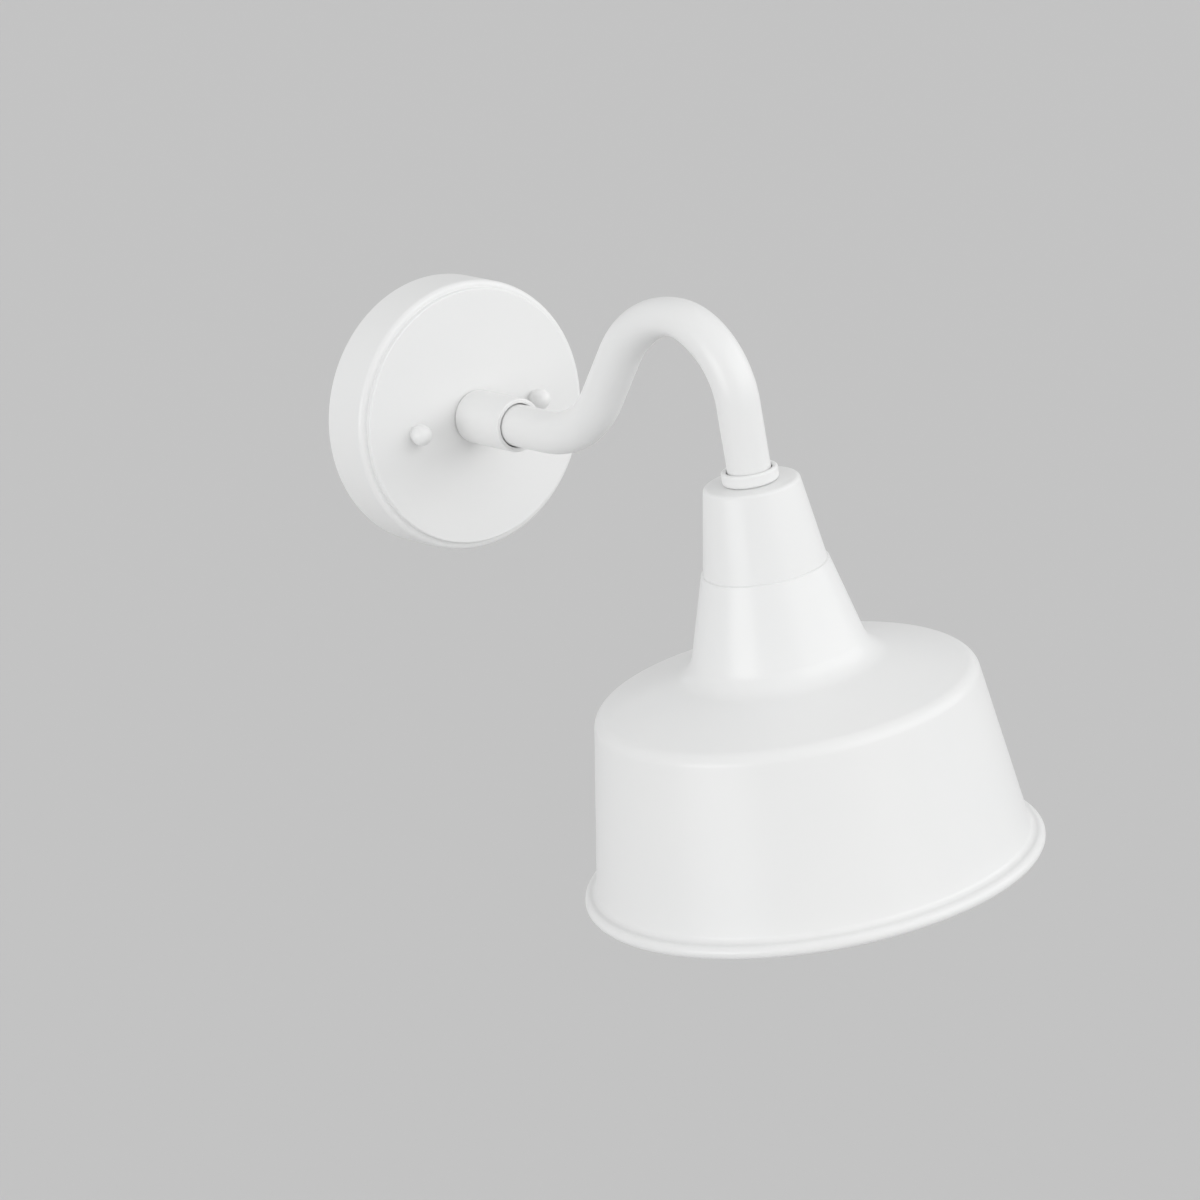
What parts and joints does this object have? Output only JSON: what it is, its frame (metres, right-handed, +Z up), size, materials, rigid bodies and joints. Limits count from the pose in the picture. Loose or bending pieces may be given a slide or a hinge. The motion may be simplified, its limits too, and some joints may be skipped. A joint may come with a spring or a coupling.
{
  "type": "gooseneck barn wall light",
  "caption": "White gooseneck barn light: round stepped wall plate, bent tube arm that rises and turns down, and a stepped spun shade with a rolled rim over a screw-in lamp.",
  "frame": {"origin": "centre of the backplate and of the wall strap's box screws, on the wall's face", "axes": "+Y into the wall, -Y out along the collar, +X to the right seen from the room, +Z up"},
  "size_m": [0.2032, 0.3318, 0.258],
  "materials": {
    "white_paint": "white satin-gloss powder coat",
    "zinc_steel": "bright zinc-plated steel",
    "ground_green": "green-coated screw",
    "brass": "plain rolled brass",
    "copper": "bare stranded copper",
    "porcelain": "glazed white porcelain",
    "black_wire": "black wire insulation",
    "white_wire": "white wire insulation",
    "lamp_metal": "nickel-bright rolled cap",
    "lamp_solder": "dull solder",
    "lamp_black": "black insulator",
    "lamp_plastic": "white moulded housing",
    "lamp_dome": "milky diffuser"
  },
  "bodies": {
    "light": {"backplate": "white_paint", "mounting_strap": "zinc_steel", "mounting_studs": "zinc_steel", "stud_nuts": "zinc_steel", "ground_screw": "ground_green", "arm_collar": "white_paint", "arm_tube": "white_paint", "arm_end_bushes": "zinc_steel", "wall_nipple": "zinc_steel", "wall_lock_washer": "zinc_steel", "wall_lock_nut": "zinc_steel", "line_wire": "black_wire", "neutral_wire": "white_wire", "lead_ends": "copper", "shade_ring": "white_paint", "shade_nipple": "zinc_steel", "shade_lock_washer": "zinc_steel", "shade_lock_nuts": "zinc_steel", "neck_cap": "white_paint", "shade": "white_paint", "socket_bracket": "zinc_steel", "socket_screws": "zinc_steel", "socket_body": "porcelain", "socket_shell": "brass", "socket_contact": "brass", "terminal_plates": "brass", "terminal_screws": "brass"},
    "lamp": {"lamp_contact": "lamp_solder", "lamp_insulator": "lamp_black", "lamp_cap": "lamp_metal", "lamp_body": "lamp_plastic", "lamp_diffuser": "lamp_dome"},
    "cap_nut_left": {"cap_nut_left": "white_paint"},
    "cap_nut_right": {"cap_nut_right": "white_paint"}
  },
  "joints": [
    {"name": "lamp_unscrew", "type": "slide", "parent": "light", "child": "lamp", "axis": [0, 0, -1], "range_m": [0, 0.024]},
    {"name": "cap_nut_left_unscrew", "type": "slide", "parent": "light", "child": "cap_nut_left", "axis": [0, -1, 0], "range_m": [0, 0.006]},
    {"name": "cap_nut_right_unscrew", "type": "slide", "parent": "light", "child": "cap_nut_right", "axis": [0, -1, 0], "range_m": [0, 0.006]}
  ]
}
